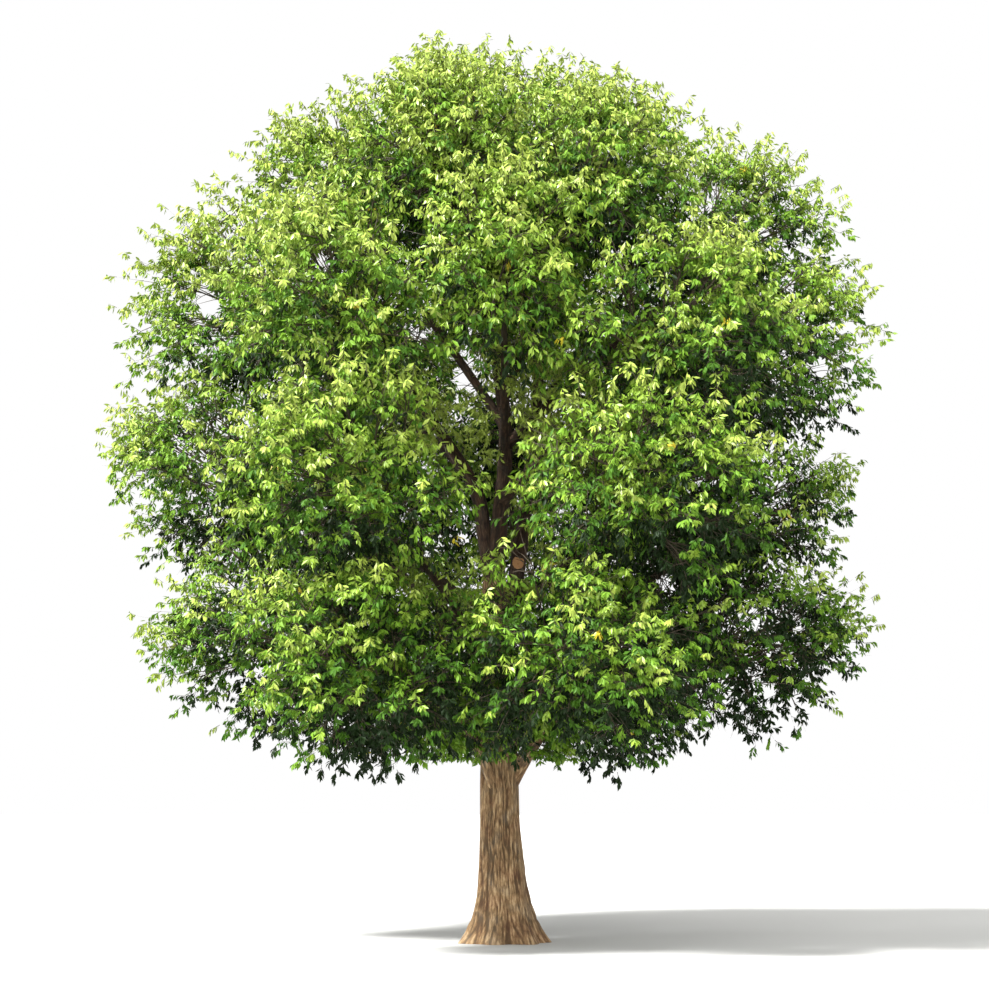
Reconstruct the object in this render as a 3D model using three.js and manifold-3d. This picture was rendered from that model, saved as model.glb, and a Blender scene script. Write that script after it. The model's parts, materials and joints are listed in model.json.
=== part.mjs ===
// A mature broadleaf shade tree, rooted in the ground: a trunk with its root flare, three leaders, a sawn-off
// stub, a bough to each mass of foliage, and the masses that make its round, dense crown.
// Millimetres, +Z up, origin at the middle of the flat cut at ground level. The tree's front faces -Y.
import * as THREE from "three";
import { mergeVertices } from "three/addons/utils/BufferGeometryUtils.js";
import Module from "manifold-3d";

const wasm = await Module();
wasm.setup();

// Driving dimensions of the trunk
const trunkTop = 4700; // the fork where the leaders part
const shaftRadius = { ground: 300, fork: 165 }; // the shaft without its flare
const flare = { depth: 250, height: 400, lobes: 7, lobeShare: 0.2 };
const trunkLean = { x: -110, y: 0 }; // how far the fork stands from over the origin
const trunkSides = 28;
const trunkRows = 12;
const rowCrowding = 1.7; // rows stand closer towards the flare

// Driving dimensions of the limbs
const mergeDistance = 1e-3; // points closer than this are one
const sliver = 0.1; // what is thinner than this is smoothed away after fusing
const seatGap = 0.3; // between a limb and what it grows from
const leafClearance = 15; // between leaves and limbs
const limbSides = { leader: 7, bough: 5, stem: 5, twig: 3 };
const limbRows = { leader: 7, bough: 4, stub: 3, stem: 1 };
const collar = { bough: 0.45, leader: 0.15, length: 160 }; // a limb swells where it leaves its parent
const boughTip = 42;
const halvings = 30; // steps to find a height on a limb

// Driving dimensions of the foliage
const crownMiddle = new THREE.Vector3(0, 0, 6300);
const massFlatness = 0.92; // height of a mass over its width
const massGap = 60; // between the spaces of two masses
const boughEntry = 0.8; // a bough ends at this share of a mass's reach, from its middle
const coreShare = 0.66; // of the mass's half width
const coreFill = 0.9; // of the way to the next mass
const coreLumps = 0.14;
const coreLumpStep = 50; // directions this fine get a lump of their own
const twigCount = 7;
const twigSpread = 2.2; // radians from a mass's outward way to its innermost twig
const twigCrowding = 0.7; // twigs stand closer on the outer side
const twigTip = 0.75; // share of the reach where a twig ends
const twigRadius = { inner: 45, outer: 20 };
const shadedReach = 0.7; // of the mass's half width: a twig shorter than this is in deep shade and bare
const leafRoot = 0.54; // share of the reach where a spray of leaves starts
const leafTip = 0.985; // share of the reach where a leaf ends
const leafSplay = 0.5; // radians between a leaf's tip and its twig's way
const leafWidth = 0.62; // share of the leaf's length
const leafThickness = 0.05; // share of the leaf's length
const leavesInSpray = 3;
const leafJitter = 0.3; // share of the turn between two leaves
const goldenAngle = Math.PI * (3 - Math.sqrt(5));

// Leaders and the stub rise from inside the trunk through these points.
const leaders = {
  centre_leader: {
    via: [[-105, 0, 4450], [-50, -20, 5300], [40, -50, 6500], [-60, -40, 7400], [-260, 40, 8700]],
    base: 120,
    tip: 62,
  },
  left_leader: {
    via: [[-100, 20, 4400], [-240, 40, 5200], [-350, 60, 5800], [-760, 110, 6500], [-1350, 160, 7300]],
    base: 115,
    tip: 58,
  },
  right_leader: {
    via: [[-80, 60, 3500], [160, 240, 4600], [360, 360, 6100], [480, 400, 7300], [560, 420, 8400]],
    base: 120,
    tip: 60,
  },
  sawn_stub: {
    via: [[-80, -20, 3900], [110, -140, 4450], [210, -210, 4890]],
    base: 88,
    tip: 76,
  },
};

// Each mass of foliage: its middle, its half width, and the bough that carries it. A bough grows from a limb
// at a height, tapers from its base radius, and arches above a straight line by a share of its length.
const trunk = "trunk";
const left = "left_leader";
const centre = "centre_leader";
const right = "right_leader";
const masses = {
  skirt_left: { middle: [-2900, -280, 4080], reach: 1780, from: [trunk, 2550], base: 88, rise: 0.3 },
  skirt_front_left: { middle: [-1700, -2530, 3500], reach: 1660, from: [trunk, 1700], base: 74, rise: 0.5 },
  skirt_front_right: { middle: [930, -2700, 3500], reach: 1700, from: [trunk, 2750], base: 76, rise: 0.26 },
  skirt_right: { middle: [2960, -380, 3980], reach: 1800, from: [trunk, 1750], base: 118, rise: 0.52 },
  skirt_back_right: { middle: [1520, 2830, 3680], reach: 1720, from: [trunk, 2900], base: 80, rise: 0.26 },
  skirt_back_left: { middle: [-1430, 2930, 3680], reach: 1720, from: [trunk, 2350], base: 80, rise: 0.3 },
  lower_left: { middle: [-3590, 0, 6080], reach: 1830, from: [trunk, 3550], base: 92, rise: 0.16 },
  lower_front_left: { middle: [-1840, -2940, 5590], reach: 1690, from: [trunk, 3300], base: 82, rise: 0.16 },
  lower_front_right: { middle: [1620, -2950, 5400], reach: 1690, from: [trunk, 3650], base: 82, rise: 0.14 },
  lower_right: { middle: [3020, 0, 5430], reach: 1680, from: [trunk, 3180], base: 92, rise: 0.05 },
  lower_back_right: { middle: [1840, 3210, 5640], reach: 1810, from: [trunk, 4050], base: 84, rise: 0.08 },
  lower_back_left: { middle: [-1840, 3260, 5730], reach: 1810, from: [trunk, 3900], base: 84, rise: 0.08 },
  lower_back: { middle: [60, 3350, 6680], reach: 1600, from: [right, 4800], base: 72, rise: 0.08 },
  upper_left: { middle: [-3390, 0, 8230], reach: 1800, from: [left, 7150], base: 44, rise: 0.05 },
  upper_front_left: { middle: [-1990, -2610, 7670], reach: 1720, from: [left, 6350], base: 54, rise: 0.08 },
  upper_back_left: { middle: [-1890, 3030, 7720], reach: 1810, from: [left, 5950], base: 58, rise: 0.08 },
  upper_front: { middle: [0, -2700, 8080], reach: 1500, from: [centre, 6150], base: 66, rise: 0.06 },
  upper_front_right: { middle: [2130, -2610, 7200], reach: 1690, from: [centre, 5650], base: 70, rise: 0.08 },
  upper_right: { middle: [3330, 0, 7600], reach: 1860, from: [right, 5750], base: 63, rise: 0.08 },
  upper_back_right: { middle: [1980, 2930, 7620], reach: 1810, from: [right, 6250], base: 59, rise: 0.06 },
  top_left: { middle: [-2060, 0, 9670], reach: 1670, from: [centre, 6650], base: 62, rise: 0.02 },
  top_front_left: { middle: [-750, -1950, 9750], reach: 1470, from: [centre, 7350], base: 55, rise: 0.06 },
  top_front_right: { middle: [1240, -1900, 9410], reach: 1470, from: [centre, 7000], base: 58, rise: 0.06 },
  top_right: { middle: [2930, 0, 9060], reach: 1760, from: [centre, 6400], base: 64, rise: 0.04 },
  top_back: { middle: [90, 2470, 9470], reach: 1810, from: [right, 7450], base: 49, rise: 0.04 },
  crown_left: { middle: [-680, 240, 10560], reach: 1650, from: [centre, 8600], base: 43, rise: 0.02 },
  crown_right: { middle: [660, 290, 10360], reach: 1670, from: [right, 8300], base: 42, rise: 0.02 },
};

const bark = new THREE.MeshStandardMaterial({ color: 0x7a5f45, roughness: 0.9, metalness: 0 });
const foliage = new THREE.MeshStandardMaterial({ color: 0x5d8a1c, roughness: 0.5, metalness: 0 });

// A repeatable share from 0 to 1 for one thing and one of its traits.
function seeded(thing, trait) {
  const wave = Math.sin(thing * 12.9898 + trait * 78.233) * 43758.5453;
  return wave - Math.floor(wave);
}

const point = (place) => new THREE.Vector3(...place);

// Solids: a three.js geometry becomes a closed solid, and a solid becomes a geometry again.
function solidOf(geometry) {
  geometry.deleteAttribute("normal");
  geometry.deleteAttribute("uv");
  const merged = mergeVertices(geometry, mergeDistance);
  return new wasm.Manifold(
    new wasm.Mesh({
      numProp: 3,
      vertProperties: new Float32Array(merged.attributes.position.array),
      triVerts: new Uint32Array(merged.index.array),
    }),
  );
}

function geometryOf(solid) {
  const mesh = solid.getMesh();
  return new THREE.BufferGeometry()
    .setAttribute("position", new THREE.BufferAttribute(mesh.vertProperties, 3))
    .setIndex(new THREE.BufferAttribute(mesh.triVerts, 1));
}

// The largest body of a solid: loose scraps are dropped and sealed hollows are filled.
function largestBody(solid) {
  return solid.decompose().reduce((best, body) => (body.volume() > best.volume() ? body : best));
}

// A fused solid without slivers, of which only the outer body is kept.
const cleaned = (solid) => largestBody(solidOf(geometryOf(largestBody(solid.simplify(sliver)))));

// Whether each edge of a solid joins just two faces, so that its surface nowhere touches itself.
function isTight(solid) {
  const corners = mergeVertices(geometryOf(solid), mergeDistance).index.array;
  const faces = new Map();
  corners.forEach((corner, i) => {
    const next = corners[i % 3 === 2 ? i - 2 : i + 1];
    const edge = `${Math.min(corner, next)} ${Math.max(corner, next)}`;
    faces.set(edge, (faces.get(edge) ?? 0) + 1);
  });
  return [...faces.values()].every((count) => count === 2);
}

// Moves every vertex of a geometry by a rule.
function reshaped(geometry, rule) {
  const places = geometry.attributes.position;
  const vertex = new THREE.Vector3();
  for (let i = 0; i < places.count; i++) {
    const moved = rule(vertex.fromBufferAttribute(places, i));
    places.setXYZ(i, moved.x, moved.y, moved.z);
  }
  return geometry;
}

// The trunk stands in level rings, so that its cut at the ground is flat.
function trunkAxis(height) {
  const share = height / trunkTop;
  return new THREE.Vector3(trunkLean.x * share, trunkLean.y * share, height);
}

function trunkRadius(height, angle) {
  const share = height / trunkTop;
  const shaft = shaftRadius.ground + (shaftRadius.fork - shaftRadius.ground) * share;
  const lobes = 1 + flare.lobeShare * Math.cos(flare.lobes * angle);
  return shaft + flare.depth * Math.exp(-height / flare.height) * lobes;
}

function trunkSolid(extra) {
  return solidOf(
    reshaped(new THREE.CylinderGeometry(1, 1, 1, trunkSides, trunkRows), (v) => {
      const height = trunkTop * (v.y + 0.5) ** rowCrowding;
      const angle = Math.atan2(-v.z, v.x);
      const radius = Math.hypot(v.x, v.z) * (trunkRadius(height, angle) + extra);
      const lift = height === trunkTop ? extra : 0;
      const offset = new THREE.Vector3(radius * Math.cos(angle), radius * Math.sin(angle), lift);
      return trunkAxis(height).add(offset);
    }),
  );
}

// A tapering limb of round section along a curve. Its radius is given for each share of its length.
function limbSolid(curve, sides, rows, radiusAt, extra = 0) {
  const frames = curve.computeFrenetFrames(rows, false);
  return solidOf(
    reshaped(new THREE.CylinderGeometry(1, 1, 1, sides, rows), (v) => {
      const row = Math.round((v.y + 0.5) * rows);
      const radius = radiusAt(row / rows) + extra;
      const lift = row === rows ? extra : row === 0 ? -extra : 0;
      return curve
        .getPointAt(row / rows)
        .addScaledVector(frames.binormals[row], v.x * radius)
        .addScaledVector(frames.normals[row], v.z * radius)
        .addScaledVector(frames.tangents[row], lift);
    }),
  );
}

// A limb's radius tapers from base to tip, with a collar where it leaves its parent.
function taper(base, tip, length, swell) {
  return (share) => base + (tip - base) * share + base * swell * Math.exp((-share * length) / collar.length);
}

// The point of a limb's middle line at a height, found by halving.
function middleAtHeight(limb, height) {
  if (limb === trunk) return trunkAxis(height);
  const curve = limbs[limb].curve;
  let low = 0;
  let high = 1;
  for (let i = 0; i < halvings; i++) {
    const middle = (low + high) / 2;
    if (curve.getPointAt(middle).z < height) low = middle;
    else high = middle;
  }
  return curve.getPointAt(low);
}

const limbs = {};

for (const [name, leader] of Object.entries(leaders)) {
  const curve = new THREE.CatmullRomCurve3(leader.via.map(point));
  const rows = name === "sawn_stub" ? limbRows.stub : limbRows.leader;
  const radiusAt = taper(leader.base, leader.tip, curve.getLength(), collar.leader);
  limbs[name] = { curve, sides: limbSides.leader, rows, radiusAt };
}

// A bough arches from its parent to where it enters its mass.
for (const [name, mass] of Object.entries(masses)) {
  const middle = point(mass.middle);
  const start = middleAtHeight(...mass.from);
  const inward = start.clone().sub(middle);
  const reach = mass.reach / Math.hypot(inward.x, inward.y, inward.z / massFlatness);
  const entry = middle.clone().addScaledVector(inward, boughEntry * reach);
  const arch = start.clone().lerp(entry, 0.5);
  arch.z += mass.rise * start.distanceTo(entry);
  const curve = new THREE.QuadraticBezierCurve3(start, arch, entry);
  const radiusAt = taper(mass.base, boughTip, curve.getLength(), collar.bough);
  limbs["bough_" + name] = { curve, sides: limbSides.bough, rows: limbRows.bough, radiusAt };
}

const limbGrown = (limb, extra) => limbSolid(limb.curve, limb.sides, limb.rows, limb.radiusAt, extra);

// Each limb is cut clear of every limb that was made before it.
const limbSolids = { trunk: trunkSolid(0) };
let standing = trunkSolid(seatGap);
for (const [name, limb] of Object.entries(limbs)) {
  limbSolids[name] = cleaned(limbGrown(limb, 0).subtract(standing));
  standing = standing.add(limbGrown(limb, seatGap));
}
const noLeafZone = Object.values(limbs).reduce(
  (zone, limb) => zone.add(limbGrown(limb, leafClearance)),
  trunkSolid(leafClearance),
);

// A mass keeps to its own space: a flattened ball, cut by the planes that part it from the other masses.
// In ball space heights are divided by the flatness, so that every mass is round there.
const ballSpace = (place) => new THREE.Vector3(place.x, place.y, place.z / massFlatness);

function spaceOf(name) {
  const mass = masses[name];
  const middle = ballSpace(point(mass.middle));
  const planes = [];
  for (const [otherName, other] of Object.entries(masses)) {
    if (otherName === name) continue;
    const way = ballSpace(point(other.middle)).sub(middle);
    const apart = way.length();
    const distance = (apart ** 2 + mass.reach ** 2 - other.reach ** 2) / (2 * apart) - massGap / 2;
    if (distance < mass.reach) planes.push({ way: way.normalize(), distance });
  }
  return { middle, reach: mass.reach, planes };
}

// How far the space goes from the mass's middle along a way.
function reachAlong(space, way) {
  const ballWay = ballSpace(way);
  let reach = space.reach / ballWay.length();
  for (const plane of space.planes) {
    const towards = ballWay.dot(plane.way);
    if (towards > 0) reach = Math.min(reach, plane.distance / towards);
  }
  return reach;
}

function isInside(space, place) {
  const offset = ballSpace(place).sub(space.middle);
  const underEveryPlane = space.planes.every((plane) => offset.dot(plane.way) <= plane.distance);
  return underEveryPlane && offset.length() <= space.reach;
}

// Twig k of a mass: the first points outwards, and the rest turn by the golden angle towards the inside.
function twigWay(outward, k, turn) {
  const lean = twigSpread * (k / (twigCount - 1)) ** twigCrowding;
  const side = new THREE.Vector3(0, 0, 1).cross(outward);
  side.normalize().applyAxisAngle(outward, goldenAngle * k + turn);
  return outward.clone().multiplyScalar(Math.cos(lean)).addScaledVector(side, Math.sin(lean));
}

// A twig: a three-sided taper from the mass's middle.
function twigSolid(from, to) {
  const line = new THREE.LineCurve3(from, to);
  const radiusAt = (share) => twigRadius.inner + (twigRadius.outer - twigRadius.inner) * share;
  return limbSolid(line, limbSides.twig, 1, radiusAt);
}

// A leaf: a folded blade from root to tip, widest half way, its face turned outwards.
function leafBlade(root, tip, facing) {
  const along = tip.clone().sub(root);
  const length = along.length();
  along.divideScalar(length);
  const across = facing.clone().cross(along).normalize();
  const outward = along.clone().cross(across);
  const frame = new THREE.Matrix4().makeBasis(
    along.multiplyScalar(length / 2),
    across.multiplyScalar((length * leafWidth) / 2),
    outward.multiplyScalar((length * leafThickness) / 2),
  );
  frame.setPosition(root.clone().lerp(tip, 0.5));
  const fold = new THREE.TetrahedronGeometry(Math.sqrt(3)).rotateZ(-Math.PI / 4);
  return fold.scale(Math.SQRT1_2, Math.SQRT1_2, 1).applyMatrix4(frame);
}

function verticesInside(geometry, space) {
  const places = geometry.attributes.position;
  const vertex = new THREE.Vector3();
  for (let i = 0; i < places.count; i++) {
    if (!isInside(space, vertex.fromBufferAttribute(places, i))) return false;
  }
  return true;
}

const clearOfLimbs = (solid) => noLeafZone.intersect(solid).isEmpty();

// A lumpy core that fills the inside of a dense mass.
function coreSolid(space, middle, seed) {
  const core = reshaped(new THREE.IcosahedronGeometry(1, 1), (v) => {
    const way = v.clone().normalize();
    const lump = Math.round(coreLumpStep * (way.x + 2 * way.y + 3 * way.z));
    const lumpy = coreShare * (1 + coreLumps * (seeded(seed, lump) - 0.5));
    const depth = Math.min(lumpy * space.reach, coreFill * reachAlong(space, way));
    return way.multiplyScalar(depth).add(middle);
  });
  return largestBody(solidOf(core).subtract(noLeafZone));
}

// The stem carries on from the bough's tip, in line with it, to the mass's middle.
function stemSolid(bough, middle) {
  const tip = bough.getPointAt(1);
  const onward = bough.getTangentAt(1);
  const start = tip.clone().addScaledVector(onward, seatGap);
  const bend = tip.clone().addScaledVector(onward, tip.distanceTo(middle) / 2);
  const line = new THREE.QuadraticBezierCurve3(start, bend, middle);
  return limbSolid(line, limbSides.stem, limbRows.stem, () => boughTip);
}

// One mass: stem, core, twigs and sprays of leaves, fused. A piece that leaves the mass untight is skipped.
function massSolid(name, seed) {
  const space = spaceOf(name);
  const middle = point(masses[name].middle);
  const outward = middle.clone().sub(crownMiddle).normalize();
  let mass = coreSolid(space, middle, seed);
  const graft = (piece) => {
    const fused = mass.add(piece);
    if (!isTight(fused)) return;
    const grown = cleaned(fused);
    if (isTight(grown)) mass = grown;
  };
  graft(stemSolid(limbs["bough_" + name].curve, middle));
  for (let k = 0; k < twigCount; k++) {
    const way = twigWay(outward, k, seed);
    const reach = reachAlong(space, way);
    const tip = middle.clone().addScaledVector(way, reach * twigTip);
    const twig = twigSolid(middle, tip);
    if (!clearOfLimbs(twig)) continue;
    graft(twig);
    if (reach < shadedReach * space.reach) continue;
    const root = middle.clone().addScaledVector(way, reach * leafRoot);
    const down = new THREE.Vector3(0, 0, -1).addScaledVector(way, way.z).normalize();
    for (let j = 0; j < leavesInSpray; j++) {
      const turn = ((j + leafJitter * seeded(seed + k, j)) / leavesInSpray) * 2 * Math.PI;
      const tipWay = down.clone().applyAxisAngle(way, turn).multiplyScalar(Math.sin(leafSplay));
      tipWay.addScaledVector(way, Math.cos(leafSplay));
      const leafEnd = middle.clone().addScaledVector(tipWay, leafTip * reachAlong(space, tipWay));
      const leaf = leafBlade(root, leafEnd, way);
      if (!verticesInside(leaf, space)) continue;
      const solid = solidOf(leaf);
      if (clearOfLimbs(solid)) graft(solid);
    }
  }
  return mass;
}

const tree = new THREE.Group();

function addNode(name, solid, material) {
  const mesh = new THREE.Mesh(geometryOf(solid), material.clone());
  mesh.name = name;
  tree.add(mesh);
}

for (const [name, solid] of Object.entries(limbSolids)) addNode(name, solid, bark);
Object.keys(masses).forEach((name, number) => {
  addNode("foliage_" + name, massSolid(name, number + 1), foliage);
});

export default tree;
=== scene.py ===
import json
import math

import bmesh
import bpy
import numpy as np
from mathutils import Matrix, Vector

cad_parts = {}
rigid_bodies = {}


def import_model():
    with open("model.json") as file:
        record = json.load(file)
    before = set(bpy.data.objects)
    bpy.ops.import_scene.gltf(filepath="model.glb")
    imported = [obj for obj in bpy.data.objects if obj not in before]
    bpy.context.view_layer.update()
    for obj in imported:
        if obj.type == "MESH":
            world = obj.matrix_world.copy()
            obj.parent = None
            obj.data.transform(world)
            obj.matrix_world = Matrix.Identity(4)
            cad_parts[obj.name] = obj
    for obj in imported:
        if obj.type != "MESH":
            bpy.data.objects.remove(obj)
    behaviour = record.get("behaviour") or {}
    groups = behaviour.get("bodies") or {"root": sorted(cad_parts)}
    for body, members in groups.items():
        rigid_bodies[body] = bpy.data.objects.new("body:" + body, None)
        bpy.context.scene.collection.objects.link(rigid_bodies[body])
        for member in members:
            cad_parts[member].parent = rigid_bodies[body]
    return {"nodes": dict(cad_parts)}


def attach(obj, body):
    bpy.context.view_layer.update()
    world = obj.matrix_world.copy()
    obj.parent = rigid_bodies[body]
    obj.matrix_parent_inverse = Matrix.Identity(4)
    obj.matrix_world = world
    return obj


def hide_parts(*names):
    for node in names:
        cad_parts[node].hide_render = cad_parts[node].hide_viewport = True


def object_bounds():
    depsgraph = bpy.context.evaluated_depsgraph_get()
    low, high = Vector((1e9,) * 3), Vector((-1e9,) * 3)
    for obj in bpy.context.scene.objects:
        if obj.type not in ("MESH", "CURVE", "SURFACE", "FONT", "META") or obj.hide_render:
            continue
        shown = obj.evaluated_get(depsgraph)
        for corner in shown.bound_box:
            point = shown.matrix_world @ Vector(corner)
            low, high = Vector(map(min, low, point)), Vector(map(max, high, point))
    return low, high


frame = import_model()
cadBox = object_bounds()
goldenAngle = math.pi * (3 - math.sqrt(5))
goldenShare = 0.618
fullTurn = 6.28
tiny = 1e-9  # keeps a division off nothing
upWay = np.array([0.0, 0.0, 1.0])
nearlyUp = upWay + 1e-3  # for cross products with ways that may point straight up
print("frame loaded:", len(frame["nodes"]), "solids")


def unit(ways):  # every row made one long
    return ways / np.maximum(np.linalg.norm(ways, axis=-1, keepdims=True), tiny)


def hexColour(text):  # sRGB hex to linear
    shares = [int(text[i:i + 2], 16) / 255 for i in (1, 3, 5)]
    return [c / 12.92 if c <= 0.04045 else ((c + 0.055) / 1.055) ** 2.4 for c in shares] + [1.0]


def addNode(tree, kind, settings=(), links=(), stops=()):
    node = tree.nodes.new(kind)
    for key, value in dict(settings).items():
        if isinstance(key, int) or key in node.inputs:
            node.inputs[key].default_value = value
        else:
            setattr(node, key, value)
    for key, source in dict(links).items():
        tree.links.new(source, node.inputs[key])
    if stops:  # a colour ramp's places and colours
        ramp = node.color_ramp
        while len(ramp.elements) < len(stops):
            ramp.elements.new(0.5)
        for element, (place, colour) in zip(ramp.elements, stops):
            element.position = place
            element.color = hexColour(colour)
    return node


def newMaterial(name):  # a material and its main shader
    material = bpy.data.materials.new(name)
    material.use_nodes = True
    return material, material.node_tree.nodes["Principled BSDF"]


# Old bark: corky plates between furrows, grey-brown where weathered and red-brown where fresh. Dry and dull.
barkLook = {
    # the grain runs from the furrow to the crest: partly the bark's own colour, partly painted shade in the
    # furrows and a painted highlight on the crests
    "furrow": "#1e150e", "side": "#5d4731", "plate": "#8b6f4c", "crest": "#c4a982",
    "grainAt": (0.3, 0.54, 0.72, 0.96),  # where on the ramp these four stand
    "weathered": "#877863", "fresh": "#835b3d", "patchAt": (0.36, 0.5, 0.66), "patchShare": 0.35,
    "patchMm": 260, "plateMm": 36, "plateStretch": 0.17, "fibreMm": 14, "fibreStretch": 0.22,
    "warpMm": 15, "warpsPerPatch": 3, "crackShare": 0.3,
    "toneShare": 0.22, "furrowSink": 0.5, "plateRise": 0.28,
    "bumpMm": 9, "bumpStrength": 0.9, "roughness": 0.92,
}


def barkMaterial(name, look):
    material, shader = newMaterial(name)
    tree = material.node_tree
    place = addNode(tree, "ShaderNodeAttribute", {"attribute_name": "barkPlace"}).outputs["Vector"]
    furrow = addNode(tree, "ShaderNodeAttribute", {"attribute_name": "furrow"}).outputs["Fac"]
    warp = addNode(tree, "ShaderNodeTexNoise",
                   {"Scale": 1000 / look["patchMm"] * look["warpsPerPatch"], "Detail": 2.0},
                   {"Vector": place})
    warped = addNode(tree, "ShaderNodeVectorMath",
                     {"operation": "MULTIPLY_ADD", 1: [look["warpMm"] / 1000] * 3},
                     {0: warp.outputs["Color"], 2: place}).outputs[0]
    tall = addNode(tree, "ShaderNodeMapping", {"Scale": (1, 1, look["plateStretch"])}, {"Vector": warped})
    edge = addNode(tree, "ShaderNodeTexVoronoi",
                   {"feature": "DISTANCE_TO_EDGE", "Scale": 1000 / look["plateMm"]},
                   {"Vector": tall.outputs["Vector"]}).outputs["Distance"]
    tone = addNode(tree, "ShaderNodeTexVoronoi", {"Scale": 1000 / look["plateMm"]},
                   {"Vector": tall.outputs["Vector"]}).outputs["Color"]
    drawnOut = addNode(tree, "ShaderNodeMapping", {"Scale": (1, 1, look["fibreStretch"])}, {"Vector": warped})
    fibre = addNode(tree, "ShaderNodeTexNoise",
                    {"Scale": 1000 / look["fibreMm"], "Detail": 6.0, "Roughness": 0.7},
                    {"Vector": drawnOut.outputs["Vector"]}).outputs["Fac"]
    toned = addNode(tree, "ShaderNodeMath", {"operation": "MULTIPLY_ADD", 1: look["toneShare"]},
                    {0: tone, 2: fibre})
    sunk = addNode(tree, "ShaderNodeMath", {"operation": "MULTIPLY_ADD", 1: -look["furrowSink"]},
                   {0: furrow, 2: toned.outputs[0]})
    crack = addNode(tree, "ShaderNodeMath",
                    {"operation": "MULTIPLY", "use_clamp": True, 1: 1 / look["crackShare"]}, {0: edge})
    raised = addNode(tree, "ShaderNodeMath", {"operation": "MULTIPLY_ADD", 1: look["plateRise"]},
                     {0: crack.outputs[0], 2: sunk.outputs[0]})
    # furrows darkest and crests lightest: partly the bark's own colour, partly painted shade and painted
    # highlight
    grainColours = [look[key] for key in ("furrow", "side", "plate", "crest")]
    grain = addNode(tree, "ShaderNodeValToRGB", {}, {"Fac": raised.outputs[0]},
                    list(zip(look["grainAt"], grainColours)))
    patch = addNode(tree, "ShaderNodeTexNoise", {"Scale": 1000 / look["patchMm"], "Detail": 3.0},
                    {"Vector": place})
    patchColours = [look[key] for key in ("weathered", "plate", "fresh")]
    patches = addNode(tree, "ShaderNodeValToRGB", {}, {"Fac": patch.outputs["Fac"]},
                      list(zip(look["patchAt"], patchColours)))
    mixed = addNode(tree, "ShaderNodeMix", {"data_type": "RGBA", "Factor": look["patchShare"]},
                    {6: grain.outputs["Color"], 7: patches.outputs["Color"]})
    tree.links.new(mixed.outputs[2], shader.inputs["Base Color"])
    bump = addNode(tree, "ShaderNodeBump",
                   {"Strength": look["bumpStrength"], "Distance": look["bumpMm"] / 1000},
                   {"Height": raised.outputs[0]})
    tree.links.new(bump.outputs["Normal"], shader.inputs["Normal"])
    shader.inputs["Roughness"].default_value = look["roughness"]
    return material


oldBark = barkMaterial("furrowed old bark", barkLook)
# a darker copy of the old bark, partly painted shade for the limbs inside the crown; smoother and redder as
# young bark is
youngBarkInPaintedShade = barkMaterial("young red-brown bark", {  # smoother, darker and redder, on leaders and boughs
    **barkLook, "furrow": "#150e09", "side": "#2b1f16", "plate": "#423021", "crest": "#5f4a37",
    "weathered": "#463c31", "fresh": "#4a2f20", "patchMm": 180, "plateMm": 30, "fibreMm": 12, "bumpMm": 4,
})
print("bark materials done")


# Trunk: a tube from the flat cut at the ground to the fork, with a lobed flare and interlaced furrows
trunk = {
    "fork": 4.7, "radiusGround": 0.300, "radiusFork": 0.165, "leanX": -0.110,
    "flareDepth": 0.250, "flareHeight": 0.400, "lobes": 7, "lobeShare": 0.2,
    "sides": 180, "rows": 270, "rowCrowding": 1.15, "shoulder": 0.16, "shoulderTaper": 0.9,
    "ridgeWidth": 0.036, "ridgeLength": 0.45, "furrowDepth": 0.02, "furrowSeed": 11,
    "swell": 0.012, "swellLength": 0.5, "swellCells": 6, "swellSeed": 21,
    "flutes": 19, "fluteDepth": 0.034, "fluteHeight": 0.8, "fluteLength": 1.4, "fluteCap": 0.4,
    "fluteSeed": 31,
}
furrowRule = {"bend": 0.4, "bendPace": 1.7, "finePace": 2.3, "fineShare": 0.45, "width": 0.2}
noiseRows = 512


def closedNoise(around, along, cells, seed):  # smooth noise from -1 to 1 that closes round a limb
    table = np.random.default_rng(seed).uniform(-1, 1, (cells, noiseRows))
    across = (around % 1.0) * cells
    i, j = np.floor(across).astype(int), np.floor(along).astype(int)
    u, v = across - i, along - j
    u, v = u * u * (3 - 2 * u), v * v * (3 - 2 * v)
    here, after = i % cells, (i + 1) % cells
    low = table[here, j % noiseRows] * (1 - u) + table[after, j % noiseRows] * u
    high = table[here, (j + 1) % noiseRows] * (1 - u) + table[after, (j + 1) % noiseRows] * u
    return low * (1 - v) + high * v


def furrowsAt(around, along, cells, length, seed):  # 1 in a furrow, 0 on a plate
    bendNoise = closedNoise(around, along / length * furrowRule["bendPace"], max(cells // 3, 3), seed + 1)
    bend = furrowRule["bend"] / cells * bendNoise
    main = closedNoise(around + bend, along / length, cells, seed)
    fine = closedNoise(around + bend, along / length * furrowRule["finePace"], cells * 2, seed + 2)
    return np.exp(-((main + furrowRule["fineShare"] * fine) / furrowRule["width"]) ** 2)


def trunkAxisAt(heights):
    heights = np.asarray(heights, float)
    return np.stack([trunk["leanX"] * heights / trunk["fork"], 0 * heights, heights], axis=-1)


def trunkRadiusAt(heights, angles):
    shaft = trunk["radiusGround"] + (trunk["radiusFork"] - trunk["radiusGround"]) * heights / trunk["fork"]
    lobes = 1 + trunk["lobeShare"] * np.cos(trunk["lobes"] * angles)
    return shaft + trunk["flareDepth"] * np.exp(-heights / trunk["flareHeight"]) * lobes


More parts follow.
